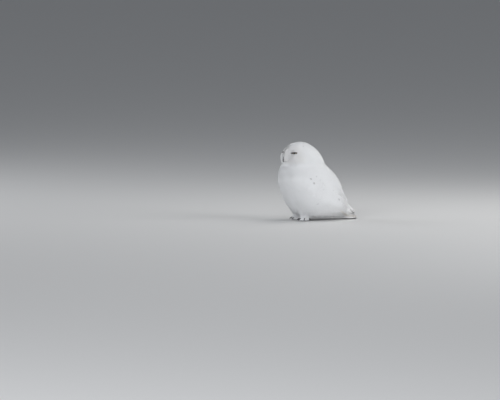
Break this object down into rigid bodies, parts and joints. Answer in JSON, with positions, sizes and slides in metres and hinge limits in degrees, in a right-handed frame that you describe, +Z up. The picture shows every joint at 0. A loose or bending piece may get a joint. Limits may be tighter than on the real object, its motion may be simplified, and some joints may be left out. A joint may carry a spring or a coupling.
{
  "type": "snowy owl, still model",
  "caption": "Still, life-size snowy owl, a near-white adult male resting on the ground, wings folded, head turned a little to its left.",
  "frame": {"origin": "under the middle of the bounding box, at the floor the owl stands on", "axes": "+Z up; the owl faces -Y, its tail points to +Y, and its left side is towards +X"},
  "size_m": [0.2636, 0.4216, 0.395],
  "materials": {
    "plumage": "soft matte white feathers",
    "bill": "black horn, satin",
    "claws": "black horn, satin",
    "eyes": "wet eye, yellow iris and black pupil"
  },
  "bodies": {
    "root": {"head": "plumage", "neck": "plumage", "trunk": "plumage", "tail": "plumage", "wing_left": "plumage", "wing_right": "plumage", "leg_left": "plumage", "leg_right": "plumage", "foot_left": "plumage", "foot_right": "plumage", "claw_left_inner": "claws", "claw_left_middle": "claws", "claw_left_outer": "claws", "claw_left_hind": "claws", "claw_right_inner": "claws", "claw_right_middle": "claws", "claw_right_outer": "claws", "claw_right_hind": "claws", "bill_upper": "bill", "bill_lower": "bill", "eye_left": "eyes", "eye_right": "eyes"}
  },
  "joints": []
}
